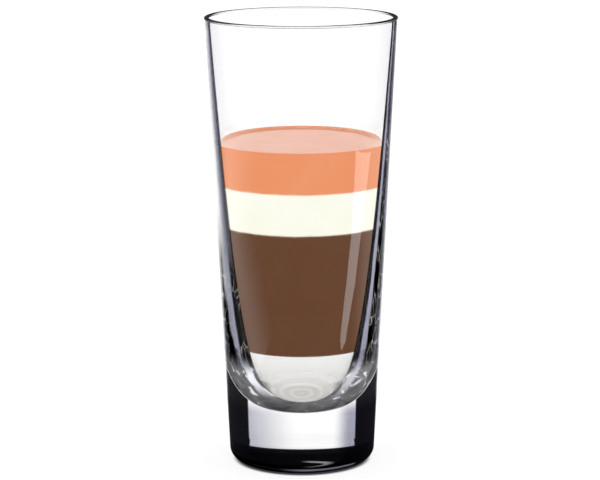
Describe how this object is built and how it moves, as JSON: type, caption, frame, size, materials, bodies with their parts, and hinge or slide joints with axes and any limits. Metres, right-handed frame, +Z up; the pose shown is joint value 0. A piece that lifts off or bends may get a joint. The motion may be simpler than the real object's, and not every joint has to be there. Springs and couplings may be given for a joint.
{
  "type": "iced coffee",
  "caption": "Layered iced coffee in a tall tapered clear glass with a heavy base: pale bottom, coffee, cream and an orange top layer, free space above.",
  "frame": {"origin": "centre of the glass's foot, on the surface that it stands on", "axes": "+Z up along the axis of the glass, towards the rim; the object is turned about Z, and the picture looks along +Y"},
  "size_m": [0.0638, 0.0638, 0.15],
  "materials": {
    "clear_glass": "clear polished",
    "pale_drink": "pale translucent liquid",
    "coffee": "wet opaque brown",
    "cream": "wet opaque ivory",
    "orange_drink": "wet opaque salmon orange"
  },
  "bodies": {
    "root": {"glass": "clear_glass", "pale_layer": "pale_drink", "coffee_layer": "coffee", "cream_layer": "cream", "orange_layer": "orange_drink"}
  },
  "joints": []
}
